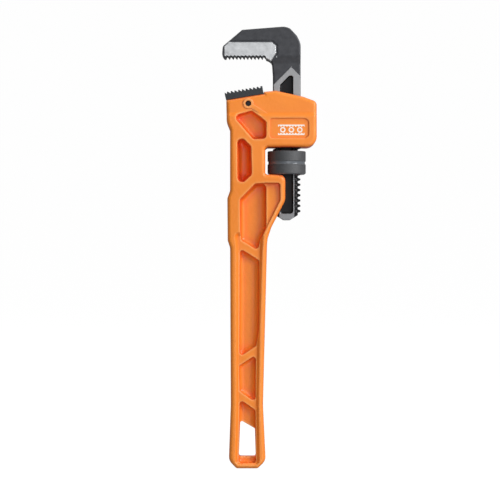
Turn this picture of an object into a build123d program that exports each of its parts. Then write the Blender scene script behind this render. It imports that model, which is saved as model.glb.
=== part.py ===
"""An 18 inch straight pipe wrench, standing upright on its handle's butt, jaws at the top.

X runs across the handle towards the adjusting nut, Y through its thickness, Z up its length.
The origin is the middle of the butt's flat end. Sizes are millimetres.
"""

from build123d import *
import math
import os

os.makedirs("parts", exist_ok=True)

# ---------------------------------------------------------------- driving sizes

# Handle: an I-section grip that widens into a head with a housing for the hook jaw
nut_seat_height = 303.5  # butt to the underside of the housing, which the nut pulls against
butt_half_width = 17.4
waist_half_width = 15.2
waist_height = 60.0
neck_half_width = 18.7
grip_half_thickness = 11.0
head_half_thickness = 17.0
web_half_thickness = 4.0
upper_step = 1.6  # how much each side steps in above the nameplate
boss_height = 0.5  # of the heel jaw pin's boss, above the stepped side
rim_round = 3.4  # rounding of the casting's outer edges
draft = 12  # degrees, on the walls of the cast pockets
flange_slope = 45  # degrees, on the inner sides of the grip's flanges
rib_drop = 2.2  # how far the grip's ribs lie below its flanges

# Housing: the collar round the hook jaw's shank, above the nut window
housing_depth = 53.4  # nut seat to the top of the collar
housing_wall = 15.0  # rear wall, behind the shank
shelf_setback = 1.5  # the lug under the nut ends this far short of the shank's middle
plate_recess_depth = 1.1  # of the shallow nameplate panel in each side

# Hook jaw
shank_x = 37.4  # middle of the shank, from the middle of the handle
shank_half_width = 13.1  # also the crest radius of the thread
shank_half_thickness = 8.0
shank_length = 68.7  # below the nut seat
shank_neck_step = 0.35  # the shank is this much thinner between its ground flats and the hook
thread_depth = 2.5
thread_pitch = 5.0
thread_crest_half = 0.75
thread_root_half = 1.65
thread_start = 60.0  # lowest crest on the rear side, below the nut seat
thread_top = 32.5  # above the nut seat
hook_half_thickness = 10.2
hook_teeth_height = 84.5  # tooth tips above the nut seat
hook_tooth_pitch = 3.46
hook_tooth_count = 11
hook_tooth_depth = 2.3
first_hook_tooth = -20.0
surround_depth = 0.9  # of the groove round the ground side plate of the teeth
surround_width = 1.9
plate_root = 0.1

# Heel jaw
seat_tilt = 9.3  # degrees, the heel jaw's seat rises towards the shank
seat_right = 15.1
seat_height = 50.1  # its right-hand end, above the nut seat
heel_length = 35.4
heel_height = 7.8
heel_half_width = 12.5
heel_tooth_pitch = 3.55
heel_tooth_count = 9
heel_tooth_depth = 1.8
tongue_half_width = 6.0
tongue_depth = 11.5
tongue_length = 24.0
pin_radius = 2.75
pin_x = 0.95
pin_height = 41.1  # above the nut seat
pin_recess = 2.6

# Adjusting nut
nut_radius = 18.2
nut_height = 22.1
nut_groove_height = 3.3
nut_groove_depth = 0.8
nut_play = 3.4  # free height of the nut in its window, besides the shelf clearance

# Spring set, between the shank and the handle side of the housing
leaf_thickness = 1.2
leaf_half_width = 4.5
leaf_low = 5.0
leaf_high = 34.0
leaf_bow = 0.5
coil_height = 19.0  # axis of the coil above the nut seat
coil_radius = 2.6
coil_wire = 0.6
coil_turns = 4
coil_pitch = 1.9
rivet_radius = 0.9

# Clearances
shelf_clearance = 0.3  # nut to the shelf under it
window_clearance = 2.2  # nut to the side of its window
slot_side_clearance = 0.6  # shank to the housing's cheeks
rear_clearance = 0.4  # shank to the housing's rear wall
rock_room = 4.7  # room for the spring and for the hook jaw to rock towards the handle
leaf_clearance = 0.5
coil_clearance = 0.7
thread_clearance = 0.3
tongue_clearance = 0.1
pin_clearance = 0.03

# ---------------------------------------------------------------- derived places

head_top = nut_seat_height + housing_depth
shank_left = shank_x - shank_half_width
shank_right = shank_x + shank_half_width
seat_slope = math.tan(math.radians(seat_tilt))
seat_left = seat_right - heel_length * math.cos(math.radians(seat_tilt))
seat_left_height = seat_height - (seat_right - seat_left) * seat_slope
slot_half_width = shank_half_thickness + slot_side_clearance
slot_left = shank_left - rock_room
slot_right = shank_right + rear_clearance
housing_right = shank_right + housing_wall
root_radius = shank_half_width - thread_depth
window_height = nut_height + shelf_clearance + nut_play
window_left = shank_x - nut_radius - window_clearance
shelf_right = shank_x - shelf_setback
upper_half_thickness = head_half_thickness - upper_step
boss_half_thickness = upper_half_thickness + boss_height
lug_slot_left = shank_left - 1.8
tongue_middle = -heel_length / 2 - 1.5
coil_hole_depth = coil_turns * coil_pitch + 1.0
first_crest = nut_seat_height - thread_start
thread_turns = int((nut_seat_height + thread_top - first_crest) / thread_pitch)
neck_half_thickness = shank_half_thickness - shank_neck_step
seat_frame = Plane(
    origin=(seat_right, 0, nut_seat_height + seat_height),
    x_dir=(math.cos(math.radians(seat_tilt)), 0, math.sin(math.radians(seat_tilt))),
    z_dir=(0, -1, 0),
)
seat_surface = Plane(origin=seat_frame.origin, x_dir=seat_frame.x_dir, z_dir=seat_frame.y_dir)
shank_axis = Axis((shank_x, 0, 0), (0, 0, 1))


def head(x, z, rounding=0.0):
    """A corner of a front outline on the head, with its height above the nut seat."""
    return (x, nut_seat_height + z, rounding)


def hook(x, z, rounding=0.0):
    """A corner of a front outline on the hook jaw, with its height above the tooth tips."""
    return head(x, hook_teeth_height + z, rounding)


def outline(corners):
    """A closed face through corners, each given as x, height and the radius that rounds it."""
    points = [(x, z) for x, z, _ in corners]
    roundings = [rounding for *_, rounding in corners]
    with BuildSketch() as shape:
        with BuildLine():
            FilletPolyline(points, radius=roundings, close=True)
        make_face()
    return shape.sketch


def pocket(corners, floor, mouth, floor_round, slope=draft):
    """A cutter for a drafted pocket in the front face, from its mouth down to its floor."""
    with BuildPart() as cutter:
        with BuildSketch(Plane.XZ.offset(mouth)):
            add(outline(corners))
        extrude(amount=floor - mouth, taper=slope)
        fillet(cutter.faces().sort_by(Axis.Y)[-1].edges(), floor_round)
    return cutter.part


def boundary(faces):
    """The edges that only one of the faces has, which are the outline of the patch they make."""
    edges = [edge for face in faces for edge in face.edges()]
    return ShapeList(edge for edge in edges if sum(edge.is_same(other) for other in edges) == 1)


# ---------------------------------------------------------------- handle

handle_outline = [
    (-10.2, 0, 3.0),
    (9.8, 0, 3.0),
    (butt_half_width, 7.3, 9.0),
    (waist_half_width - 0.3, waist_height, 90.0),
    head(neck_half_width, -92.0, 12.0),
    head(neck_half_width + 0.6, -86.0, 12.0),
    head(22.7, -75.8, 12.0),
    head(shelf_right, -50.2, 10.0),
    head(shelf_right, -window_height, 6.0),
    head(window_left, -window_height, 2.0),
    head(window_left, 0, 3.0),
    head(housing_right, 0, 10.0),
    head(housing_right, housing_depth - 10.4, 5.0),
    head(housing_right - 13.1, housing_depth - 5.6, 8.0),
    head(shank_x - 10.6, housing_depth, 8.0),
    head(seat_right + 0.4, seat_height + 2.2, 0.8),
    head(seat_right + 0.5, seat_height + 0.5 * seat_slope),
    head(seat_left, seat_left_height, 1.2),
    head(-19.4, 24.0, 8.0),
    head(-16.2, 16.0, 6.0),
    head(-16.2, -41.0, 6.0),
    head(-18.8, -48.0, 6.0),
    head(-18.5, -88.0, 8.0),
    head(-16.2, -95.0, 10.0),
    (-waist_half_width - 0.4, waist_height, 90.0),
    (-butt_half_width, 7.3, 9.0),
]

side_profile = [
    (grip_half_thickness, 0, 0.0),
    (grip_half_thickness, nut_seat_height - 98.0, 120.0),
    (head_half_thickness, nut_seat_height - 20.0, 120.0),
    (head_half_thickness, nut_seat_height + 29.0, 1.0),
    (upper_half_thickness, nut_seat_height + 32.6, 1.0),
    (upper_half_thickness - 0.6, head_top + 5.0, 0.0),
]

# Cast pockets of the grip, from the butt up; ribs are what is left between them
hang_pocket = pocket(
    [
        (-8.9, 4.6, 3.2),
        (8.9, 4.6, 3.2),
        (8.3, 55.4, 3.2),
        (-7.9, 66.8, 3.2),
    ],
    web_half_thickness,
    grip_half_thickness,
    4.5,
)
lower_pocket = pocket(
    [
        (-7.9, 72.6, 3.2),
        (8.4, 61.2, 3.2),
        (8.7, 108.7, 3.2),
        (-8.4, 97.3, 3.2),
    ],
    web_half_thickness,
    grip_half_thickness,
    4.5,
)
grip_pocket = pocket(
    [
        (-8.2, 104.0, 3.2),
        (9.0, 115.4, 3.2),
        (11.4, 132.0, 30.0),
        head(11.9, -106.5, 3.2),
        head(-7.7, -94.2, 3.2),
    ],
    web_half_thickness,
    grip_half_thickness,
    4.5,
)
neck_pocket = pocket(
    [
        head(-7.9, -88.6, 5.0),
        head(11.9, -100.9, 5.0),
        head(13.6, -88.5, 12.0),
        head(19.2, -76.6, 5.0),
        head(19.2, -window_height - 7.5, 5.0),
        head(7.2, -window_height - 8.1, 5.0),
        head(-7.9, -49.1, 5.0),
    ],
    web_half_thickness,
    head_half_thickness,
    4.0,
)
cheek_pocket = pocket(
    [
        head(14.0, -82.0, 2.0),
        head(17.9, -79.1, 2.0),
        head(shelf_right - 4.0, -50.0, 5.0),
        head(shelf_right - 4.5, -window_height - 7.5, 3.0),
        head(14.0, -window_height - 7.5, 3.0),
    ],
    slot_half_width + 3.0,
    head_half_thickness,
    0.8,
)
side_pocket = pocket(
    [
        head(-9.8, 14.3, 4.5),
        head(-9.5, -39.0, 4.5),
        head(4.65, -26.4, 5.0),
        head(3.8, 0.9, 4.0),
    ],
    web_half_thickness,
    head_half_thickness,
    4.0,
)
jaw_pocket = pocket(
    [
        head(4.4, 35.2, 4.0),
        head(-10.7, 30.6, 4.0),
        head(-10.7, 25.6, 4.0),
        head(5.6, 6.9, 4.0),
        head(18.2, 7.6, 4.0),
        head(18.2, 24.0, 4.0),
    ],
    coil_radius + coil_wire + 4.3,
    head_half_thickness,
    2.8,
)
panel_recess = pocket(
    [
        head(20.8, 8.0, 3.0),
        head(housing_right - 7.1, 8.0, 5.0),
        head(housing_right - 7.1, 27.4, 5.0),
        head(20.8, 27.4, 3.0),
    ],
    head_half_thickness - plate_recess_depth,
    head_half_thickness + 0.5,
    0.8,
)

grip_relief = pocket(
    [
        (-13.3, 1.5, 6.0),
        (13.3, 1.5, 6.0),
        (12.4, waist_height, 90.0),
        (13.1, 112.0, 30.0),
        head(15.9, -96.0, 12.0),
        head(15.9, -80.0, 5.0),
        head(-12.7, -80.0, 5.0),
        head(-12.3, -96.0, 10.0),
        (-12.2, waist_height, 90.0),
    ],
    grip_half_thickness - rib_drop,
    grip_half_thickness + 1.5,
    0.8,
    flange_slope,
)

with BuildPart() as handle:
    with BuildSketch(Plane.XZ):
        add(outline(handle_outline))
    extrude(amount=head_half_thickness + 5, both=True)
    with BuildSketch(Plane.YZ):
        add(outline(side_profile + [(-y, z, rounding) for y, z, rounding in reversed(side_profile)]))
    extrude(amount=housing_right + 10, both=True, mode=Mode.INTERSECT)
    broad_faces = handle.faces().filter_by(lambda face: abs(face.normal_at().Y) > 0.5)
    rims = boundary(broad_faces.filter_by(lambda face: face.center().Y < 0))
    rims += boundary(broad_faces.filter_by(lambda face: face.center().Y > 0))
    fillet(rims, rim_round)
    for cutter in (
        grip_relief,
        hang_pocket,
        lower_pocket,
        grip_pocket,
        neck_pocket,
        cheek_pocket,
        side_pocket,
        jaw_pocket,
        panel_recess,
    ):
        add(cutter, mode=Mode.SUBTRACT)
        add(cutter.mirror(Plane.XZ), mode=Mode.SUBTRACT)
    # Boss round the heel jaw pin, and the rib that runs from it down to the housing
    with BuildSketch(Plane.XZ):
        with Locations((pin_x, nut_seat_height + pin_height)):
            Circle(pin_radius + 2.1)
        with Locations((pin_x + 8.9, nut_seat_height + pin_height - 5.8)):
            SlotCenterToCenter(21.2, 4.2, rotation=-33)
    extrude(amount=boss_half_thickness, both=True)
    # Hole through the web to hang the wrench by
    with BuildSketch(Plane.XZ):
        add(outline([(-8.0, 11.0, 1.6), (8.0, 11.0, 1.6), (7.2, 37.6, 1.6), (-6.6, 45.4, 1.6)]))
    extrude(amount=grip_half_thickness, both=True, mode=Mode.SUBTRACT)
    # Slot of the housing that the shank slides in, and the slot between the cheeks of the lug
    with BuildSketch(Plane.XY.offset(nut_seat_height - 1)):
        with Locations(((slot_left + slot_right) / 2, 0)):
            RectangleRounded(slot_right - slot_left, 2 * slot_half_width, 1.5)
    extrude(amount=housing_depth + 6, mode=Mode.SUBTRACT)
    with BuildSketch(Plane.XY.offset(nut_seat_height - window_height + 1)):
        with Locations((lug_slot_left, 0)):
            Rectangle(shank_half_width * 2, 2 * slot_half_width, align=(Align.MIN, Align.CENTER))
    extrude(amount=-shank_length, mode=Mode.SUBTRACT)
    # Pocket in the seat for the heel jaw's tongue, and the cross hole for its pin
    with BuildSketch(seat_surface):
        with Locations((tongue_middle, 0)):
            Rectangle(tongue_length + 2 * tongue_clearance, 2 * (tongue_half_width + tongue_clearance))
    extrude(amount=-tongue_depth - tongue_clearance, mode=Mode.SUBTRACT)
    with BuildSketch(Plane.XZ):
        with Locations((pin_x, nut_seat_height + pin_height)):
            Circle(pin_radius)
    extrude(amount=head_half_thickness, both=True, mode=Mode.SUBTRACT)
    # Blind hole for the coil spring, in the handle side of the housing
    with BuildSketch(Plane.YZ.offset(slot_left + 1)):
        with Locations((0, nut_seat_height + coil_height)):
            Circle(coil_radius + coil_wire + coil_clearance)
    extrude(amount=-coil_hole_depth - 1, mode=Mode.SUBTRACT)

# ---------------------------------------------------------------- heel jaw and its pin

with BuildPart() as heel_jaw:
    with BuildSketch(seat_frame):
        add(
            outline(
                [
                    (0.4, 0, 0.5),
                    (0.4, heel_height, 0.0),
                    (-heel_length - 0.5, heel_height, 0.8),
                    (-heel_length, 0, 0.8),
                ]
            )
        )
    extrude(amount=heel_half_width, both=True)
    chamfer(boundary(heel_jaw.faces().filter_by(Axis.Y).sort_by(Axis.Y)[:1]), 0.4)
    chamfer(boundary(heel_jaw.faces().filter_by(Axis.Y).sort_by(Axis.Y)[-1:]), 0.4)
    with BuildSketch(seat_surface):
        with Locations((tongue_middle, 0)):
            Rectangle(tongue_length, 2 * tongue_half_width)
    extrude(amount=-tongue_depth)
    # Teeth with their steep side towards the open end of the mouth
    for tooth in range(heel_tooth_count + 1):
        tip = -0.85 - tooth * heel_tooth_pitch
        with BuildSketch(seat_frame):
            with Locations((tip, heel_height)):
                Polygon(
                    (-0.55, 0.7),
                    (-0.15 - 0.7, -heel_tooth_depth),
                    (-0.15 - 1.2, -heel_tooth_depth),
                    (0.15 - heel_tooth_pitch, 0),
                    (0.15 - heel_tooth_pitch, 0.7),
                )
        extrude(amount=heel_half_width + 1, both=True, mode=Mode.SUBTRACT)
    with BuildSketch(Plane.XZ):
        with Locations((pin_x, nut_seat_height + pin_height)):
            Circle(pin_radius)
    extrude(amount=heel_half_width, both=True, mode=Mode.SUBTRACT)

with BuildPart() as heel_jaw_pin:
    with BuildSketch(Plane.XZ):
        with Locations((pin_x, nut_seat_height + pin_height)):
            Circle(pin_radius - pin_clearance)
    extrude(amount=boss_half_thickness - pin_recess, both=True)
    chamfer(heel_jaw_pin.edges().filter_by(GeomType.CIRCLE), 0.5)

# ---------------------------------------------------------------- hook jaw

# One tooth of the thread is a short stretch of a right-hand helical ridge
tooth_sweep = 2 * math.degrees(math.asin(shank_half_thickness / shank_half_width)) + 12
ridge_root = root_radius - 0.4
with BuildPart() as ridge:
    with BuildLine() as lead:
        Helix(thread_pitch, thread_pitch * tooth_sweep / 360, root_radius)
    with BuildSketch(Plane(origin=lead.line @ 0, x_dir=(1, 0, 0), z_dir=lead.line % 0)):
        Polygon(
            (ridge_root - root_radius, -thread_root_half - 0.15),
            (thread_depth, -thread_crest_half),
            (thread_depth, thread_crest_half),
            (ridge_root - root_radius, thread_root_half + 0.15),
        )
    sweep(is_frenet=True)
right_ridge = ridge.part.rotate(Axis.Z, -tooth_sweep / 2).moved(
    Location((shank_x, 0, first_crest - thread_pitch * tooth_sweep / 720))
)
left_ridge = ridge.part.rotate(Axis.Z, 180 - tooth_sweep / 2).moved(
    Location((shank_x, 0, first_crest - thread_pitch / 2 - thread_pitch * tooth_sweep / 720))
)

with BuildPart() as threaded_shank:
    with BuildSketch(Plane.XY.offset(nut_seat_height - shank_length)):
        with Locations((shank_x, 0)):
            Circle(root_radius)
    extrude(amount=shank_length + thread_top + 2)
    for crest in range(thread_turns):
        with Locations((0, 0, crest * thread_pitch)):
            add(right_ridge)
            add(left_ridge)
    with BuildSketch(Plane.XZ):
        add(
            outline(
                [
                    (shank_x - 3, nut_seat_height - shank_length, 2.0),
                    (shank_x + 3, nut_seat_height - shank_length, 2.0),
                    (shank_x + root_radius, nut_seat_height - shank_length + 4.8, 3.0),
                    (shank_right + 1, first_crest - thread_pitch + 1.5, 0.0),
                    (shank_right + 1, nut_seat_height + thread_top + 2, 0.0),
                    (shank_left - 1, nut_seat_height + thread_top + 2, 0.0),
                    (shank_left - 1, first_crest - thread_pitch + 0.5, 0.0),
                    (shank_x - root_radius, nut_seat_height - shank_length + 4.8, 3.0),
                ]
            )
        )
    extrude(amount=shank_half_thickness, both=True, mode=Mode.INTERSECT)

with BuildPart() as ground_flat:
    with BuildSketch(Plane.XZ):
        Polygon(
            head(shank_left, thread_top)[:2],
            head(shank_right, thread_top)[:2],
            hook(shank_right, -17.5)[:2],
            hook(shank_x + 4.0, -8.4)[:2],
            hook(shank_left, -25.7)[:2],
        )
    extrude(amount=shank_half_thickness, both=True)
    fillet(ground_flat.edges().filter_by(Axis.Z), 1.2)

channel = pocket(
    [
        head(shank_x - 6.6, 5.9 - shank_length, 3.0),
        head(shank_x + 6.2, 5.9 - shank_length, 3.0),
        hook(shank_x + 6.2, -16.4, 2.0),
        hook(shank_x + 2.1, -16.4, 2.6),
        hook(shank_x - 6.6, -25.3, 2.6),
    ],
    shank_half_thickness - 3.6,
    shank_half_thickness + 0.5,
    1.0,
)
hook_outline = outline(
    [
        hook(-22.0, 0.0, 2.5),
        hook(16.0, 0.0, 8.0),
        hook(shank_left - 0.9, -3.1, 6.0),
        hook(shank_left, -16.5, 8.0),
        head(shank_left, thread_top),
        head(shank_right, thread_top),
        hook(shank_right, 14.0, 14.0),
        hook(shank_right - 3.6, 21.1, 6.0),
        hook(shank_right - 9.9, 27.9, 5.0),
        hook(shank_right - 14.5, 29.9, 14.0),
        hook(-4.9, 26.7, 2.5),
        hook(-17.7, 15.8, 6.0),
        hook(-23.2, 11.1, 4.0),
        hook(-23.8, 3.7, 4.0),
    ]
)
hook_profile = [
    head(neck_half_thickness, thread_top - 1),
    hook(neck_half_thickness, -5.0, 6.0),
    hook(hook_half_thickness, 2.5, 6.0),
    hook(hook_half_thickness, 40.0),
]
tooth_plate = [
    hook(-21.9, -4.5)[:2],
    hook(-21.9, 11.0)[:2],
    hook(-17.7, 15.0)[:2],
    hook(shank_left - 0.8, 15.0)[:2],
    hook(shank_left + 3.0, 11.4)[:2],
    hook(shank_left + 3.0, 4.7)[:2],
    hook(shank_left - 2.8, -4.5)[:2],
]

with BuildPart() as hook_jaw:
    # Forged head: a slab as thick as the teeth are wide, thinned where it enters the housing
    with BuildSketch(Plane.XZ):
        add(hook_outline)
    extrude(amount=hook_half_thickness, both=True)
    with BuildSketch(Plane.YZ):
        add(outline(hook_profile + [(-y, z, rounding) for y, z, rounding in reversed(hook_profile)]))
    extrude(amount=housing_right + 10, both=True, mode=Mode.INTERSECT)
    broad_faces = hook_jaw.faces().filter_by(lambda face: abs(face.normal_at().Y) > 0.5)
    rims = boundary(broad_faces.filter_by(lambda face: face.center().Y < 0))
    rims += boundary(broad_faces.filter_by(lambda face: face.center().Y > 0))
    fillet(rims.filter_by(lambda edge: edge.center().Z > nut_seat_height + thread_top + 1), 1.6)
    # Ground side plates of the teeth, each in its shallow surround
    for side in (1, -1):
        with BuildSketch(Plane.XZ.offset(side * (hook_half_thickness - surround_depth))):
            Polygon(*tooth_plate)
            offset(amount=surround_width, kind=Kind.INTERSECTION)
        extrude(amount=side * 5, mode=Mode.SUBTRACT)
        with BuildSketch(Plane.XZ.offset(side * (hook_half_thickness - surround_depth - plate_root))):
            Polygon(*tooth_plate)
            add(hook_outline, mode=Mode.INTERSECT)
        extrude(amount=side * (surround_depth + plate_root))
        chamfer(boundary([hook_jaw.faces().sort_by(Axis.Y)[0 if side > 0 else -1]]), 0.6)
    # Teeth with their steep side towards the shank
    for tooth in range(hook_tooth_count):
        with BuildSketch(Plane.XZ):
            tip = first_hook_tooth + tooth * hook_tooth_pitch
            with Locations((tip, nut_seat_height + hook_teeth_height)):
                Polygon(
                    (-0.3, -0.9),
                    (0.15 + 0.75, hook_tooth_depth),
                    (0.15 + 1.25, hook_tooth_depth),
                    (hook_tooth_pitch - 0.15, 0),
                    (hook_tooth_pitch - 0.15, -0.9),
                )
        extrude(amount=hook_half_thickness + 1, both=True, mode=Mode.SUBTRACT)
    add(ground_flat)
    add(threaded_shank)
    add(channel, mode=Mode.SUBTRACT)
    add(channel.mirror(Plane.XZ), mode=Mode.SUBTRACT)

# ---------------------------------------------------------------- adjusting nut

nut_bottom = nut_seat_height - window_height + shelf_clearance
nut_top = nut_bottom + nut_height
bore_radius = root_radius + thread_clearance
groove_bottom = nut_bottom + (nut_height - nut_groove_height) / 2
with BuildPart() as adjusting_nut:
    with BuildSketch(Plane.XZ):
        add(
            outline(
                [
                    (shank_x + bore_radius, nut_bottom, 0.0),
                    (shank_x + nut_radius - 1.6, nut_bottom, 1.0),
                    (shank_x + nut_radius, nut_bottom + 1.2, 0.8),
                    (shank_x + nut_radius, groove_bottom, 0.4),
                    (shank_x + nut_radius - nut_groove_depth, groove_bottom + 0.6, 0.2),
                    (shank_x + nut_radius - nut_groove_depth, groove_bottom + nut_groove_height - 0.6, 0.2),
                    (shank_x + nut_radius, groove_bottom + nut_groove_height, 0.4),
                    (shank_x + nut_radius, nut_top, 1.0),
                    (shank_x + bore_radius, nut_top, 0.0),
                ]
            )
        )
    revolve(axis=shank_axis)
    cut_start = first_crest + thread_pitch * math.floor((nut_bottom - first_crest) / thread_pitch - 0.6)
    with BuildLine() as lead:
        Helix(thread_pitch, nut_height + 2.5 * thread_pitch, root_radius, center=(shank_x, 0, cut_start))
    with BuildSketch(Plane(origin=lead.line @ 0, x_dir=(1, 0, 0), z_dir=lead.line % 0)):
        Polygon(
            (thread_clearance - 0.6, -thread_root_half - thread_clearance),
            (thread_depth + thread_clearance, -thread_crest_half - thread_clearance),
            (thread_depth + thread_clearance, thread_crest_half + thread_clearance),
            (thread_clearance - 0.6, thread_root_half + thread_clearance),
        )
    sweep(is_frenet=True, mode=Mode.SUBTRACT)

# ---------------------------------------------------------------- spring set

leaf_face = shank_left - leaf_clearance
leaf_middle = (leaf_low + leaf_high) / 2
with BuildPart() as flat_spring:
    with BuildSketch(Plane.XZ):
        with BuildLine():
            front_arc = ThreePointArc(
                (leaf_face - leaf_bow, nut_seat_height + leaf_low),
                (leaf_face, nut_seat_height + leaf_middle),
                (leaf_face - leaf_bow, nut_seat_height + leaf_high),
            )
            back_arc = ThreePointArc(
                (leaf_face - leaf_bow - leaf_thickness, nut_seat_height + leaf_low),
                (leaf_face - leaf_thickness, nut_seat_height + leaf_middle),
                (leaf_face - leaf_bow - leaf_thickness, nut_seat_height + leaf_high),
            )
            Line(front_arc @ 0, back_arc @ 0)
            Line(front_arc @ 1, back_arc @ 1)
        make_face()
    extrude(amount=leaf_half_width, both=True)
    with BuildSketch(Plane.YZ.offset(leaf_face + 1)):
        with Locations((0, nut_seat_height + coil_height)):
            Circle(rivet_radius)
    extrude(amount=-leaf_thickness - 2, mode=Mode.SUBTRACT)

with BuildPart() as spring_rivet:
    with BuildSketch(Plane.YZ.offset(leaf_face - 0.1)):
        with Locations((0, nut_seat_height + coil_height)):
            Circle(rivet_radius - pin_clearance)
    extrude(amount=-leaf_thickness)
    with BuildSketch(Plane.YZ.offset(leaf_face - leaf_thickness - 0.1)):
        with Locations((0, nut_seat_height + coil_height)):
            Circle(coil_radius - coil_wire - 0.3)
    extrude(amount=-0.8)
    fillet(spring_rivet.faces().sort_by(Axis.X)[0].edges(), 0.5)

with BuildPart() as coil_spring:
    with BuildLine() as wire:
        Helix(
            coil_pitch,
            coil_turns * coil_pitch,
            coil_radius,
            center=(leaf_face - leaf_thickness - coil_wire - 0.1, 0, nut_seat_height + coil_height),
            direction=(-1, 0, 0),
        )
    with BuildSketch(Plane(origin=wire.line @ 0, z_dir=wire.line % 0)):
        Circle(coil_wire)
    sweep(is_frenet=True)

# ---------------------------------------------------------------- files

pieces = {
    "handle": handle,
    "heel_jaw": heel_jaw,
    "heel_jaw_pin": heel_jaw_pin,
    "hook_jaw": hook_jaw,
    "adjusting_nut": adjusting_nut,
    "flat_spring": flat_spring,
    "spring_rivet": spring_rivet,
    "coil_spring": coil_spring,
}
for name, piece in pieces.items():
    piece.part.label = name
    export_step(piece.part, f"parts/{name}.step")
    print(name, round(piece.part.volume), len(piece.solids()), piece.part.is_valid)
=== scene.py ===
# %% [markdown]
# # A straight pipe wrench
# The wrench is an orange enamelled iron handle, a forged hook jaw that slides through the handle's
# housing, a knurled nut that drives it, and a hardened heel jaw pinned to the handle. The engineering
# model already holds every part at its real size, so this lesson is about surfaces: paint, black
# oxide, ground steel and knurling, and the light that shows them.

# %% Load the engineering model
import math

import bmesh
import bpy
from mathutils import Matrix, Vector


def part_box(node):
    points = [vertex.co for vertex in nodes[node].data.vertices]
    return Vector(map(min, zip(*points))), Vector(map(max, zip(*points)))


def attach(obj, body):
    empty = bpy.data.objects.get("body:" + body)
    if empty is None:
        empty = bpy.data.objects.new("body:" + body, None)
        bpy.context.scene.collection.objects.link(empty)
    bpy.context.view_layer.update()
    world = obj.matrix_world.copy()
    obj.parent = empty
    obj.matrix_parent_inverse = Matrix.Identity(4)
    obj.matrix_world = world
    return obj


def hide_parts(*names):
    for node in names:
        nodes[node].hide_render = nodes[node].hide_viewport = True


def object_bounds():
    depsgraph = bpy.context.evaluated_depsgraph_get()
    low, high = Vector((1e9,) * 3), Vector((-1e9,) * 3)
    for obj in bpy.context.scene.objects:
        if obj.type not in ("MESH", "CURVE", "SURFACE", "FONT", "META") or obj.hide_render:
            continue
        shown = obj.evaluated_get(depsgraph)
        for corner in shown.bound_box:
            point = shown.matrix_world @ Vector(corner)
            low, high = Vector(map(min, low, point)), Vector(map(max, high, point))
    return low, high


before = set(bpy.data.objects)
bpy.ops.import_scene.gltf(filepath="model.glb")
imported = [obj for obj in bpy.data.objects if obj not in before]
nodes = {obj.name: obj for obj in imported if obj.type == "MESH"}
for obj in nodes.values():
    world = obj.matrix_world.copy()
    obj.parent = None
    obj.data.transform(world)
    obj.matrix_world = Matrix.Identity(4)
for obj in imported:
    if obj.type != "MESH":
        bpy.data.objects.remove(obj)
cad_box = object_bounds()
MM = 0.001
print("parts:", sorted(nodes))
print("size in mm:", [round(side / MM, 1) for side in cad_box[1] - cad_box[0]])

# %% [markdown]
# ## Two small helpers
# A colour picked on a screen is an sRGB value, but a shader works with linear light, so one function
# turns the hex value round. A shader is a tree of nodes, and the second function adds any node with
# its options and its inputs in one call, which keeps the trees below short enough to read.


# %% Helpers for colours and nodes
def linear(hex_colour):
    """An sRGB hex colour as linear RGBA."""
    parts = [int(hex_colour[i : i + 2], 16) / 255 for i in (1, 3, 5)]
    return (*[p / 12.92 if p <= 0.04045 else ((p + 0.055) / 1.055) ** 2.4 for p in parts], 1.0)


def add_node(tree, kind, inputs=None, **options):
    """Adds a node. Inputs are given by name or number, as a value or as another node's output."""
    node = tree.nodes.new("ShaderNode" + kind)
    for name, value in options.items():
        setattr(node, name, value)
    for name, value in (inputs or {}).items():
        if isinstance(value, bpy.types.NodeSocket):
            tree.links.new(value, node.inputs[name])
        else:
            node.inputs[name].default_value = value
    return node


print("paint orange in linear light:", [round(c, 3) for c in linear("#F27A20")[:3]])

# %% [markdown]
# ## Masks that follow the shape
# Black oxide rubs thin on a sharp edge, and a ground face is bright only where the stone has touched it.
# An edge shows where a rounded copy of the normal, which the Bevel node gives, differs from the real
# one. A ground face lies inside a few straight lines, so its mask is the smallest distance to those
# lines. Both are worked out from the surface itself, so they hold from every side.


# %% Masks for edges and for areas with straight sides
def new_material(name):
    """An empty material with its output and its shader, and the position on the piece in metres."""
    material = bpy.data.materials.new(name)
    material.use_nodes = True
    tree = material.node_tree
    tree.nodes.clear()
    shader = add_node(tree, "BsdfPrincipled")
    add_node(tree, "OutputMaterial", {"Surface": shader.outputs["BSDF"]})
    position = add_node(tree, "TexCoord").outputs["Object"]
    return material, tree, shader, position


def edge_mask(tree, radius, low, high):
    """0 on flat stretches, 1 on edges, with the rounded normal that found them."""
    rounded = add_node(tree, "Bevel", {"Radius": radius}, samples=6)
    real = add_node(tree, "NewGeometry").outputs["Normal"]
    angle = add_node(tree, "VectorMath", {0: rounded.outputs["Normal"], 1: real}, operation="DOT_PRODUCT")
    mask = add_node(tree, "MapRange", {"Value": angle.outputs["Value"], "From Min": high, "From Max": low})
    return mask.outputs["Result"], rounded.outputs["Normal"]


def inside(tree, position, lines, softness):
    """1 inside all the lines (x, y, z, offset): where x, y, z times the position is under the offset."""
    nearest = None
    for *direction, offset in lines:
        along = add_node(tree, "VectorMath", {0: position, 1: direction}, operation="DOT_PRODUCT")
        room = add_node(tree, "Math", {0: offset, 1: along.outputs["Value"]}, operation="SUBTRACT")
        if nearest is None:
            nearest = room.outputs[0]
        else:
            smaller = add_node(tree, "Math", {0: nearest, 1: room.outputs[0]}, operation="MINIMUM")
            nearest = smaller.outputs[0]
    mask = add_node(tree, "MapRange", {"Value": nearest, "From Min": 0.0, "From Max": softness})
    return mask.outputs["Result"]


def mix(tree, factor, first, second):
    """A colour between two colours."""
    node = add_node(tree, "Mix", {0: factor, 6: first, 7: second}, data_type="RGBA")
    return node.outputs[2]


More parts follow.
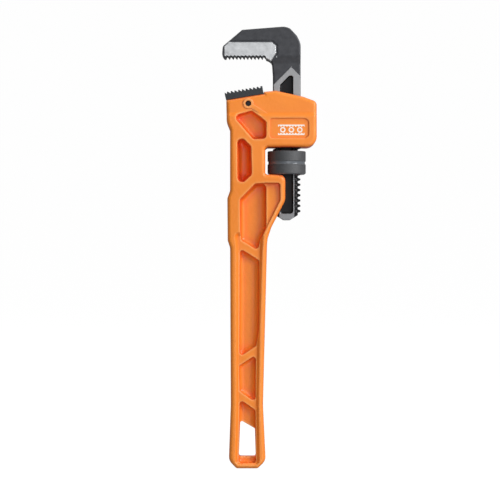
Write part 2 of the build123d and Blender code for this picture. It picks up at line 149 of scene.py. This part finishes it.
def blotches(tree, position, size, low, high, detail=3.0, stretch=(1, 1, 1)):
    """Soft noise with features of a given size in metres, spread between two values."""
    placed = add_node(tree, "Mapping", {"Vector": position, "Scale": stretch})
    noise = add_node(tree, "TexNoise", {"Vector": placed.outputs[0], "Scale": 1 / size, "Detail": detail})
    spread = add_node(
        tree,
        "MapRange",
        {"Value": noise.outputs[0], "From Min": 0.3, "From Max": 0.7, "To Min": low, "To Max": high},
    )
    return spread.outputs["Result"]


def dress(node_name, material):
    """Gives a part of the engineering model one finish."""
    mesh = nodes[node_name].data
    mesh.materials.clear()
    mesh.materials.append(material)
    print(node_name, "wears", material.name, "over", len(mesh.polygons), "faces")


# %% [markdown]
# ## Orange enamel on cast iron
# The handle is ductile iron from a sand mould, dipped or sprayed with thick enamel and baked. Sand
# leaves a fine pebble that the paint only half fills, and the paint itself dries with a slight orange
# peel. Light and shade are painted into its colour as well: a painted highlight of lighter orange on
# the crests, and painted shade of deeper red in the corners of the cast pockets and wherever the
# paint is seen at a shallow angle.
#
# Ambient occlusion finds the pockets and the crests. Rays sent outwards are stopped in a pocket, so
# they mark where the painted shade goes. Rays sent into the metal leave again near a convex edge, so
# they mark the crests for the painted highlight.


# %% Enamel
def orange_enamel():
    material, tree, shader, position = new_material("orange_enamel_on_sand_cast_iron")
    rounded = add_node(tree, "Bevel", {"Radius": 1.1 * MM}, samples=6).outputs["Normal"]
    cloud = blotches(tree, position, 28 * MM, 0.0, 1.0)
    colour = mix(tree, cloud, linear("#EF8318"), linear("#F58A1C"))
    # Painted shade: a deeper red in the corners of the pockets, where shade falls
    open_sky = add_node(tree, "AmbientOcclusion", {"Distance": 9 * MM, "Normal": rounded}, samples=8)
    painted_pocket_shade = add_node(
        tree, "MapRange", {"Value": open_sky.outputs["AO"], "From Min": 0.95, "From Max": 0.5}
    )
    colour = mix(tree, painted_pocket_shade.outputs["Result"], colour, linear("#F2581E"))
    # Painted shade: a darker red where the paint is seen at a shallow angle
    facing = add_node(tree, "LayerWeight", {"Blend": 0.5, "Normal": rounded}).outputs["Facing"]
    painted_grazing_shade = add_node(tree, "Math", {0: facing, 1: 2.0}, operation="POWER").outputs[0]
    colour = mix(tree, painted_grazing_shade, colour, linear("#D8421A"))
    # Painted highlight: a lighter orange on the convex crests
    crest = add_node(tree, "AmbientOcclusion", {"Distance": 2.6 * MM}, samples=8, inside=True)
    edges = add_node(tree, "MapRange", {"Value": crest.outputs["AO"], "From Min": 0.97, "From Max": 0.6})
    second_colour_share = add_node(tree, "Math", {0: edges.outputs["Result"], 1: 0.75}, operation="MULTIPLY").outputs[0]
    colour = mix(tree, second_colour_share, colour, linear("#F9AE66"))
    tree.links.new(colour, shader.inputs["Base Color"])
    tree.links.new(blotches(tree, position, 6 * MM, 0.36, 0.48), shader.inputs["Roughness"])
    shader.inputs["IOR"].default_value = 1.5
    shader.inputs["Coat Weight"].default_value = 0.12
    shader.inputs["Coat Roughness"].default_value = 0.25
    # The sand's pebble under the paint's orange peel
    pebble = blotches(tree, position, 0.9 * MM, 0.0, 1.0, detail=2.0)
    peel = blotches(tree, position, 3.2 * MM, 0.0, 1.0, detail=1.0)
    cast = {"Height": pebble, "Distance": 0.03 * MM, "Strength": 0.7, "Normal": rounded}
    cast_normal = add_node(tree, "Bump", cast).outputs[0]
    paint = {"Height": peel, "Distance": 0.12 * MM, "Strength": 0.6, "Normal": cast_normal}
    tree.links.new(add_node(tree, "Bump", paint).outputs[0], shader.inputs["Normal"])
    return material


dress("handle", orange_enamel())

# %% [markdown]
# ## The hook jaw: forging black and ground steel
# The hook jaw is drop forged, hardened and blackened, then ground on the sides of its teeth and on
# the flats of its shank. The black is a thin oxide on steel, so it is dark but still has a metal's
# sheen. The ground faces show bright steel with fine scratches from the stone. One material holds
# both, and the masks above tell it where the stone has been.

# %% Places on the hook jaw
HOOK_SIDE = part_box("hook_jaw")[1].y
TEETH_Z = 388.0 * MM
TOOTH_PITCH = 3.46 * MM
LAST_TOOTH_X = 17.5 * MM
GROUND_ABOVE_TIPS = 1.6 * MM
TOOTH_SLANT = 0.55
PLATE_LEFT = -22.4 * MM
PLATE_RIGHT = 28.2 * MM
PLATE_TOP = 403.0 * MM
PLATE_CUT_LEFT = -17.7 * MM
PLATE_CUT_RIGHT = 23.5 * MM
PLATE_MARGIN = 0.9 * MM
PLATE_DEPTH = 0.66 * MM
SHANK_X = 37.4 * MM
SHANK_SIDE = 8.0 * MM
FLAT_LOW = 336.5 * MM
FLAT_HIGH = 380.4 * MM
RIM_TOP = 296 * MM
RIM_HALF = 9.6 * MM
CHANNEL_HALF = 7.4 * MM
CHANNEL_TOP = 379.5 * MM
print("hook jaw is", round(2 * HOOK_SIDE / MM, 1), "mm thick, teeth at", round(TEETH_Z / MM, 1))

# %% [markdown]
# ## Where the stone has been
# The side plate of the teeth stands proud of a shallow surround, and straight lines bound it on
# three sides. Below, it ends in the teeth themselves, so a triangle wave with their pitch follows
# them. The shank is ground where it stands at its full thickness. The channel and the thread are
# never ground; they are painted nearly black, as painted shade for the deep channel and for the
# thread where it sits in shadow.


# %% Masks for the tooth plate, the shank and the oil
def tooth_plate(tree, position, place, depth):
    """1 on the ground side plate of the teeth."""
    level = add_node(tree, "Math", {0: depth, 1: HOOK_SIDE - PLATE_DEPTH}, operation="GREATER_THAN")
    half = math.sqrt(0.5)
    bounds = [
        (1, 0, 0, PLATE_RIGHT),
        (-1, 0, 0, -PLATE_LEFT),
        (0, 0, 1, PLATE_TOP + PLATE_MARGIN),
        (half, 0, half, half * (PLATE_CUT_RIGHT + PLATE_TOP) + PLATE_MARGIN),
        (-half, 0, half, half * (PLATE_TOP - PLATE_CUT_LEFT) + PLATE_MARGIN),
    ]
    plate = inside(tree, position, bounds, 0.1 * MM)
    wave = add_node(tree, "Math", {0: place["X"], 1: TOOTH_PITCH / 2}, operation="PINGPONG").outputs[0]
    line = {0: wave, 1: TOOTH_SLANT, 2: TEETH_Z + GROUND_ABOVE_TIPS}
    line = add_node(tree, "Math", line, operation="MULTIPLY_ADD").outputs[0]
    above = add_node(tree, "Math", {0: place["Z"], 1: line}, operation="GREATER_THAN").outputs[0]
    beside = add_node(tree, "Math", {0: place["X"], 1: LAST_TOOTH_X}, operation="GREATER_THAN").outputs[0]
    clear = add_node(tree, "Math", {0: above, 1: beside}, operation="MAXIMUM").outputs[0]
    plate = add_node(tree, "Math", {0: plate, 1: level.outputs[0]}, operation="MULTIPLY").outputs[0]
    return add_node(tree, "Math", {0: plate, 1: clear}, operation="MULTIPLY").outputs[0]


def shank_flats(tree, position, depth):
    """1 on the ground sides of the shank, above the thread and beside the channel below the nut."""
    upper = inside(tree, position, [(0, 0, 1, FLAT_HIGH), (0, 0, -1, -FLAT_LOW)], 0.1 * MM)
    bounds = [(1, 0, 0, SHANK_X + RIM_HALF), (-1, 0, 0, RIM_HALF - SHANK_X), (0, 0, 1, RIM_TOP)]
    lower = inside(tree, position, bounds, 2.2 * MM)
    flats = add_node(tree, "Math", {0: upper, 1: lower}, operation="MAXIMUM").outputs[0]
    full = add_node(tree, "Math", {0: depth, 1: SHANK_SIDE - 0.15 * MM}, operation="GREATER_THAN")
    return add_node(tree, "Math", {0: flats, 1: full.outputs[0]}, operation="MULTIPLY").outputs[0]


def painted_channel_and_thread_shade(tree, place, depth, thread):
    """1 where shade is painted: in the channel and all over the threaded length."""
    off_axis = add_node(tree, "Math", {0: place["X"], 1: SHANK_X}, operation="SUBTRACT").outputs[0]
    off_axis = add_node(tree, "Math", {0: off_axis}, operation="ABSOLUTE").outputs[0]
    shade_share = add_node(tree, "Math", {0: off_axis, 1: CHANNEL_HALF}, operation="LESS_THAN").outputs[0]
    for value, limit in ((depth, SHANK_SIDE - 0.5 * MM), (place["Z"], CHANNEL_TOP)):
        under = add_node(tree, "Math", {0: value, 1: limit}, operation="LESS_THAN").outputs[0]
        shade_share = add_node(tree, "Math", {0: shade_share, 1: under}, operation="MULTIPLY").outputs[0]
    return add_node(tree, "Math", {0: shade_share, 1: thread}, operation="MAXIMUM").outputs[0]


# %% [markdown]
# ## The forging's own material
# The masks choose between three finishes: bright steel with a cloudy, finely scratched skin, black
# oxide that has rubbed thin on the edges, and a near-black painted shade in the channel and over the
# thread.


# %% Forged black steel with ground faces
def hook_steel():
    material, tree, shader, position = new_material("forged_steel_black_oxide_and_ground")
    edges, rounded = edge_mask(tree, 0.5 * MM, 0.88, 0.995)
    place = add_node(tree, "SeparateXYZ", {0: position}).outputs
    depth = add_node(tree, "Math", {0: place["Y"]}, operation="ABSOLUTE").outputs[0]
    thread = add_node(tree, "Math", {0: place["Z"], 1: FLAT_LOW}, operation="LESS_THAN").outputs[0]
    plate = tooth_plate(tree, position, place, depth)
    flat = shank_flats(tree, position, depth)
    ground = add_node(tree, "Math", {0: plate, 1: flat}, operation="MAXIMUM").outputs[0]
    scratches = blotches(tree, position, 0.7 * MM, 0.0, 1.0, detail=4.0, stretch=(0.12, 1, 1))
    cloud = blotches(tree, position, 5 * MM, 0.0, 1.0, detail=4.0)
    bright = mix(tree, cloud, linear("#A6A8AB"), linear("#DCDEE0"))
    bright = mix(tree, scratches, bright, linear("#C4C6C8"))
    bright = mix(tree, flat, bright, linear("#97989A"))
    bright = mix(tree, thread, bright, linear("#86878A"))
    black = mix(tree, cloud, linear("#3E3F43"), linear("#4B4C50"))
    worn = add_node(tree, "Math", {0: edges, 1: 0.35}, operation="MULTIPLY").outputs[0]
    black = mix(tree, worn, black, linear("#85878B"))
    # Painted shade: near black where the channel and the thread sit in shadow
    black = mix(tree, painted_channel_and_thread_shade(tree, place, depth, thread), black, linear("#1C1C1E"))
    tree.links.new(mix(tree, ground, black, bright), shader.inputs["Base Color"])
    rough = add_node(tree, "MapRange", {"Value": ground, "To Min": 0.5, "To Max": 0.4})
    tree.links.new(rough.outputs["Result"], shader.inputs["Roughness"])
    shader.inputs["Metallic"].default_value = 0.6
    grain = blotches(tree, position, 1.1 * MM, 0.0, 1.0, detail=3.0)
    height = mix(tree, ground, grain, scratches)
    relief = {"Height": height, "Distance": 0.03 * MM, "Strength": 0.6, "Normal": rounded}
    tree.links.new(add_node(tree, "Bump", relief).outputs[0], shader.inputs["Normal"])
    return material


dress("hook_jaw", hook_steel())

# %% [markdown]
# ## The heel jaw: hardened and blackened
# The heel jaw is a small block of hardened alloy steel with milled teeth. It gets the same hot black
# oxide, which is darker and more even on a milled face than on a forging, and the tooth tips rub
# bright first.


# %% Black oxide on milled steel
def heel_steel():
    material, tree, shader, position = new_material("milled_steel_black_oxide")
    edges, rounded = edge_mask(tree, 0.3 * MM, 0.86, 0.99)
    lines = blotches(tree, position, 0.6 * MM, 0.0, 1.0, detail=2.0, stretch=(1, 0.1, 1))
    black = mix(tree, lines, linear("#37393C"), linear("#45484B"))
    worn = add_node(tree, "Math", {0: edges, 1: 0.5}, operation="MULTIPLY").outputs[0]
    tree.links.new(mix(tree, worn, black, linear("#74777A")), shader.inputs["Base Color"])
    tree.links.new(blotches(tree, position, 2 * MM, 0.38, 0.5), shader.inputs["Roughness"])
    shader.inputs["Metallic"].default_value = 0.85
    relief = {"Height": lines, "Distance": 0.02 * MM, "Strength": 0.6, "Normal": rounded}
    tree.links.new(add_node(tree, "Bump", relief).outputs[0], shader.inputs["Normal"])
    return material


dress("heel_jaw", heel_steel())


# %% [markdown]
# ## Pin, springs and rivet
# The pin is hard drawn wire, driven in below the surface; its near-black colour is painted shade for
# the shadow in its hole. The leaf and the coil are spring steel, tempered to a blue-black, and the
# small rivet that joins them is bare mild steel.


# %% Plain steels
def plain_steel(name, dark, light, roughness, grain_size, stretch, rounding=0.2 * MM):
    material, tree, shader, position = new_material(name)
    edges, rounded = edge_mask(tree, rounding, 0.86, 0.99)
    grain = blotches(tree, position, grain_size, 0.0, 1.0, detail=3.0, stretch=stretch)
    colour = mix(tree, grain, linear(dark), linear(light))
    worn = add_node(tree, "Math", {0: edges, 1: 0.4}, operation="MULTIPLY").outputs[0]
    tree.links.new(mix(tree, worn, colour, linear("#A7A9AC")), shader.inputs["Base Color"])
    rough = blotches(tree, position, 1.5 * MM, roughness - 0.05, roughness + 0.07)
    tree.links.new(rough, shader.inputs["Roughness"])
    shader.inputs["Metallic"].default_value = 1.0
    relief = {"Height": grain, "Distance": 0.01 * MM, "Strength": 0.5, "Normal": rounded}
    tree.links.new(add_node(tree, "Bump", relief).outputs[0], shader.inputs["Normal"])
    return material


blued = plain_steel("tempered_blue_spring_steel", "#3B4350", "#55606F", 0.3, 0.8 * MM, (1, 1, 0.2))
# The pin's near-black colour is painted shade for the shadow in its hole.
wire = plain_steel("drawn_steel_wire", "#1E1F21", "#2C2D2F", 0.22, 0.5 * MM, (1, 0.1, 1), 0.9 * MM)
dress("heel_jaw_pin", wire)
dress("flat_spring", blued)
dress("coil_spring", blued)
dress("spring_rivet", plain_steel("bare_mild_steel", "#8C8E90", "#A5A7A9", 0.35, 0.6 * MM, (1, 1, 1)))

# %% [markdown]
# ## The knurled nut
# The nut is turned from bar, and two bands of diamond knurling are rolled into it with a smooth
# groove between them. A knurl could be painted on with a bump, but its points catch the light and
# break the outline, so here it is real: a profile is spun round the axis, and every second point is
# pushed in, which leaves a grid of small pyramids. The engineering nut has the right bore and thread,
# so the knurled solid is only used to trim a copy of it.

# %% Sizes of the nut
nut_low, nut_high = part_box("adjusting_nut")
nut_axis = Vector(((nut_low.x + nut_high.x) / 2, 0, 0))
nut_radius = (nut_high.x - nut_low.x) / 2
nut_middle = (nut_low.z + nut_high.z) / 2
GROOVE_HALF = 1.65 * MM
GROOVE_DEPTH = 0.8 * MM
KNURL_DEPTH = 0.32 * MM
KNURLS_AROUND = 104
KNURL_STEP = math.pi * nut_radius / KNURLS_AROUND
print("nut radius", round(nut_radius / MM, 2), "mm, knurl pitch", round(2 * KNURL_STEP / MM, 2), "mm")

# %% [markdown]
# ## Spinning the knurl
# The profile has one point for every half knurl, and the spin has two steps for every knurl, so the
# points form a grid like a chessboard. The points that stand on the black squares are pushed in.

# %% Spin the knurled solid
band_rows = round(((nut_high.z - nut_low.z) / 2 - GROOVE_HALF) / KNURL_STEP)
groove_wall = 0.5 * MM


def band_heights(start, direction):
    """Heights of a band's rows, from the groove outwards and past the end of the nut."""
    return [start + direction * row * KNURL_STEP for row in range(band_rows + 3)]


lower_band = band_heights(nut_middle - GROOVE_HALF, -1)[::-1]
upper_band = band_heights(nut_middle + GROOVE_HALF, 1)
groove_radius = nut_radius - GROOVE_DEPTH
profile = [(0, lower_band[0])]
profile += [(nut_radius, z) for z in lower_band]
profile += [(groove_radius, nut_middle - GROOVE_HALF + groove_wall)]
profile += [(groove_radius, nut_middle + GROOVE_HALF - groove_wall)]
profile += [(nut_radius, z) for z in upper_band]
profile += [(0, upper_band[-1])]

knurled = bmesh.new()
points = [knurled.verts.new((nut_axis.x + radius, 0, z)) for radius, z in profile]
wires = [knurled.edges.new(pair) for pair in zip(points, points[1:])]
bmesh.ops.spin(
    knurled,
    geom=points + wires,
    cent=nut_axis,
    axis=(0, 0, 1),
    angle=2 * math.pi,
    steps=2 * KNURLS_AROUND,
    use_merge=True,
)
bmesh.ops.remove_doubles(knurled, verts=knurled.verts, dist=0.001 * MM)
for vertex in knurled.verts:
    out = vertex.co - nut_axis
    out.z = 0
    if out.length < nut_radius - 0.01 * MM:
        continue
    column = round(math.atan2(out.y, out.x) / (math.pi / KNURLS_AROUND))
    row = round((abs(vertex.co.z - nut_middle) - GROOVE_HALF) / KNURL_STEP)
    if (column + row) % 2:
        vertex.co -= out.normalized() * KNURL_DEPTH
bmesh.ops.triangulate(knurled, faces=knurled.faces, quad_method="SHORT_EDGE")
bmesh.ops.recalc_face_normals(knurled, faces=knurled.faces)
open_edges = sum(edge.is_boundary for edge in knurled.edges)
print("knurled solid:", len(knurled.faces), "triangles, open edges:", open_edges)

# %% [markdown]
# ## Trimming a copy of the nut
# A Boolean keeps what lies in both solids: the thread and the end faces from one, the knurl from the
# other. The engineering mesh is loose triangles, so its copy is merged first, because a Boolean
# needs closed shells. The result is made a plain mesh, and the knurled solid is thrown away.


# %% Intersect, and let the result stand for the nut
def mesh_object(name, source):
    """An object from a bmesh, linked to the scene."""
    mesh = bpy.data.meshes.new(name)
    source.to_mesh(mesh)
    source.free()
    made = bpy.data.objects.new(name, mesh)
    bpy.context.scene.collection.objects.link(made)
    return made


merged = bmesh.new()
merged.from_mesh(nodes["adjusting_nut"].data)
bmesh.ops.remove_doubles(merged, verts=merged.verts, dist=0.0005 * MM)
print("nut copy: open edges", sum(edge.is_boundary for edge in merged.edges))
rough_nut = mesh_object("rough_nut", merged)
knurl_tool = mesh_object("knurl_tool", knurled)
trim = rough_nut.modifiers.new("trim", "BOOLEAN")
trim.operation = "INTERSECT"
trim.solver = "MANIFOLD"
trim.object = knurl_tool
bpy.context.view_layer.update()
trimmed = bpy.data.meshes.new_from_object(rough_nut.evaluated_get(bpy.context.evaluated_depsgraph_get()))
bpy.data.objects.remove(rough_nut)
bpy.data.objects.remove(knurl_tool)
knurled_nut = bpy.data.objects.new("knurled_nut", trimmed)
bpy.context.scene.collection.objects.link(knurled_nut)
trimmed.shade_smooth()
trimmed.set_sharp_from_angle(angle=math.radians(28))
print("knurled nut:", len(trimmed.polygons), "faces")


# %% [markdown]
# ## The finish of the nut
# Phosphate and oil leave the knurl a soft charcoal that hardly reflects, while the turned groove
# keeps a smoother, shinier skin. The radius tells the two apart.


# %% Black phosphate, smoother in the groove
def nut_steel():
    material, tree, shader, position = new_material("turned_steel_black_phosphate")
    centred = add_node(tree, "Mapping", {"Vector": position, "Location": -nut_axis})
    flat = add_node(tree, "VectorMath", {0: centred.outputs[0], 1: (1, 1, 0)}, operation="MULTIPLY")
    radius = add_node(tree, "VectorMath", {0: flat.outputs[0]}, operation="LENGTH").outputs["Value"]
    turned = add_node(
        tree,
        "MapRange",
        {
            "Value": radius,
            "From Min": groove_radius + 0.1 * MM,
            "From Max": groove_radius + 0.3 * MM,
            "To Min": 1.0,
            "To Max": 0.0,
        },
    ).outputs["Result"]
    points_mask = add_node(
        tree,
        "MapRange",
        {"Value": radius, "From Min": nut_radius - 0.12 * MM, "From Max": nut_radius, "To Max": 0.4},
    ).outputs["Result"]
    grain = blotches(tree, position, 1.2 * MM, 0.0, 1.0)
    black = mix(tree, grain, linear("#454648"), linear("#525355"))
    black = mix(tree, points_mask, black, linear("#7A7B7E"))
    tree.links.new(mix(tree, turned, black, linear("#62666B")), shader.inputs["Base Color"])
    rough = add_node(tree, "MapRange", {"Value": turned, "To Min": 0.55, "To Max": 0.22}).outputs["Result"]
    tree.links.new(rough, shader.inputs["Roughness"])
    shader.inputs["Metallic"].default_value = 0.15
    bump = add_node(tree, "Bump", {"Height": grain, "Distance": 0.02 * MM, "Strength": 0.4})
    tree.links.new(bump.outputs[0], shader.inputs["Normal"])
    return material


trimmed.materials.clear()
trimmed.materials.append(nut_steel())
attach(knurled_nut, "adjusting_nut")
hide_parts("adjusting_nut")

# %% [markdown]
# ## A mark on the panel
# The nameplate panel carries a mark in white enamel ink. This one is a generic pictogram: a pipe
# seen end on, between two toothed jaws. A grid with every second corner of one side pulled out
# makes a toothed bar, and a short line spun all the way round makes a pipe's ring. The print is a film a
# few hundredths of a millimetre thick, so it is a real, thin layer on the paint.

# %% Draw the pictogram
PANEL_DEPTH = 1.1 * MM
INK_FILM = 0.05 * MM
MARK_WIDTH = 25 * MM
MARK_HEIGHT = 9.7 * MM
JAW_BAR = 0.9 * MM
JAW_TOOTH = 1.2 * MM
TEETH = 9
PIPE_RADIUS = 2.6 * MM
PIPE_WALL = 1.1 * MM
PIPE_SPACING = 8 * MM
mark_centre = Vector((41.5 * MM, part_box("handle")[1].y - PANEL_DEPTH, 319.7 * MM))


def toothed_bar(ink, side):
    """A bar along the mark's upper (1) or lower (-1) edge, with its teeth towards the middle."""
    placed = bmesh.ops.create_grid(ink, x_segments=2 * TEETH, y_segments=1, size=0.5)["verts"]
    step = MARK_WIDTH / (2 * TEETH)
    for corner in placed:
        column = round((corner.co.x + 0.5) * 2 * TEETH)
        outer = corner.co.y * side > 0
        tooth = 0 if column % 2 else JAW_TOOTH
        height = MARK_HEIGHT / 2 if outer else MARK_HEIGHT / 2 - JAW_BAR - tooth
        corner.co = Vector((column * step - MARK_WIDTH / 2, 0, side * height))


def pictogram(name, side):
    """The mark on the front (-1) or the back (1) of the handle."""
    ink = bmesh.new()
    toothed_bar(ink, 1)
    toothed_bar(ink, -1)
    for middle_x in (-PIPE_SPACING, 0, PIPE_SPACING):
        wall = [ink.verts.new((middle_x + PIPE_RADIUS - offset, 0, 0)) for offset in (0, PIPE_WALL)]
        wall_edge = ink.edges.new(wall)
        bmesh.ops.spin(
            ink,
            geom=[*wall, wall_edge],
            cent=(middle_x, 0, 0),
            axis=(0, 1, 0),
            angle=2 * math.pi,
            steps=40,
            use_merge=True,
        )
    bmesh.ops.recalc_face_normals(ink, faces=ink.faces)
    film = bmesh.ops.extrude_face_region(ink, geom=list(ink.faces))["geom"]
    raised = [corner for corner in film if isinstance(corner, bmesh.types.BMVert)]
    bmesh.ops.translate(ink, verts=raised, vec=(0, side * 2 * INK_FILM, 0))
    place = Vector((mark_centre.x, side * (mark_centre.y - INK_FILM), mark_centre.z))
    bmesh.ops.translate(ink, verts=ink.verts, vec=place)
    bmesh.ops.recalc_face_normals(ink, faces=ink.faces)
    mark = mesh_object(name, ink)
    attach(mark, "handle")
    return mark


marks = [pictogram("panel_mark_front", -1), pictogram("panel_mark_back", 1)]
print("mark:", len(marks[0].data.polygons), "faces each")

# %% [markdown]
# ## White ink
# Pad-printed enamel ink is matt and slightly uneven where the orange shows through.


# %% Ink
def white_ink():
    material, tree, shader, position = new_material("white_pad_printing_ink")
    second_colour_share = blotches(tree, position, 0.7 * MM, 0.0, 0.35, detail=3.0)
    colour = mix(tree, second_colour_share, linear("#F6F3EF"), linear("#F4C9A4"))
    tree.links.new(colour, shader.inputs["Base Color"])
    tree.links.new(blotches(tree, position, 2 * MM, 0.45, 0.6), shader.inputs["Roughness"])
    return material


ink_finish = white_ink()
for mark in marks:
    mark.data.materials.append(ink_finish)
print("marks wear", ink_finish.name)

# %% [markdown]
# ## The floor
# A wide pale bowl stands in for a studio sweep: flat under the wrench, and curved up all round so
# that no horizon shows from any side. It is spun from a short profile.

# %% Spin the sweep
SWEEP_FLAT = 3.0
SWEEP_BEND = 1.2
SWEEP_TOP = 3.5
sweep_mesh = bmesh.new()
bend = [
    (SWEEP_FLAT + SWEEP_BEND * math.sin(turn), 0, SWEEP_BEND * (1 - math.cos(turn)))
    for turn in (math.radians(step * 7.5) for step in range(13))
]
section = [(0, 0, 0), *bend, (SWEEP_FLAT + SWEEP_BEND, 0, SWEEP_TOP)]
points = [sweep_mesh.verts.new(place) for place in section]
wires = [sweep_mesh.edges.new(pair) for pair in zip(points, points[1:])]
bmesh.ops.spin(
    sweep_mesh,
    geom=points + wires,
    cent=(0, 0, 0),
    axis=(0, 0, 1),
    angle=2 * math.pi,
    steps=96,
    use_merge=True,
)
bmesh.ops.remove_doubles(sweep_mesh, verts=sweep_mesh.verts, dist=0.1 * MM)
bmesh.ops.recalc_face_normals(sweep_mesh, faces=sweep_mesh.faces)
sweep = mesh_object("sweep", sweep_mesh)
sweep.data.shade_smooth()

paper, tree, shader, position = new_material("matt_white_paper")
tree.links.new(
    mix(tree, blotches(tree, position, 0.4, 0.0, 1.0), linear("#141414"), linear("#181818")),
    shader.inputs["Base Color"],
)
shader.inputs["Roughness"].default_value = 0.9
shader.inputs["Emission Color"].default_value = (1, 1, 1, 1)
shader.inputs["Emission Strength"].default_value = 0.98
sweep.data.materials.append(paper)
sweep.visible_diffuse = False
sweep.visible_glossy = False
sweep.visible_shadow = False
print("sweep:", len(sweep.data.polygons), "faces")

# %% [markdown]
# ## Light
# One large softbox stands to the right of the camera and above, so faces that look right and up are
# bright and the pockets' left-facing walls fall into shade. A weak box in front keeps the shade
# readable. A low one stands for the light that a pale floor would throw back, and lights the slopes
# that look down. One more behind lights the far side for the other views.

# %% Softboxes
middle = (cad_box[0] + cad_box[1]) / 2


def softbox(name, azimuth, elevation, distance, size, power):
    """A square area light that looks at the middle of the wrench from a direction."""
    lamp = bpy.data.lights.new(name, "AREA")
    lamp.shape = "SQUARE"
    lamp.size = size
    lamp.energy = power
    box = bpy.data.objects.new(name, lamp)
    turn, rise = math.radians(azimuth), math.radians(elevation)
    away = Vector((math.sin(turn) * math.cos(rise), -math.cos(turn) * math.cos(rise), math.sin(rise)))
    box.location = middle + away * distance
    box.rotation_mode = "QUATERNION"
    box.rotation_quaternion = away.to_track_quat("Z", "Y")
    bpy.context.scene.collection.objects.link(box)
    return box


softbox("key", 57, 26, 1.9, 0.8, 31)
softbox("front", 10, 8, 2.6, 1.2, 8)
softbox("low", 24, -22, 2.1, 1.0, 8)
softbox("top", 10, 80, 1.9, 1.0, 8)
softbox("back", 205, 35, 2.0, 1.2, 24)
world = bpy.data.worlds.new("studio")
world.use_nodes = True
world.node_tree.nodes["Background"].inputs["Color"].default_value = (1, 1, 1, 1)
world.node_tree.nodes["Background"].inputs["Strength"].default_value = 0.29
bpy.context.scene.world = world
bpy.context.scene.view_settings.view_transform = "Standard"

# %% [markdown]
# ## Camera
# The wrench is seen square on from a distance with a long lens, which keeps its sides nearly
# parallel.

# %% Camera
CAMERA_DISTANCE = 1.8
FRAME_WIDTH = 0.475
lens = bpy.data.cameras.new("camera")
lens.sensor_width = 36
lens.lens = lens.sensor_width * CAMERA_DISTANCE / FRAME_WIDTH
camera = bpy.data.objects.new("camera", lens)
camera.location = (2.6 * MM, -CAMERA_DISTANCE, 206.5 * MM)
camera.rotation_euler = (math.radians(90), 0, 0)
bpy.context.scene.collection.objects.link(camera)
bpy.context.scene.camera = camera
print("lens", round(lens.lens, 1), "mm")
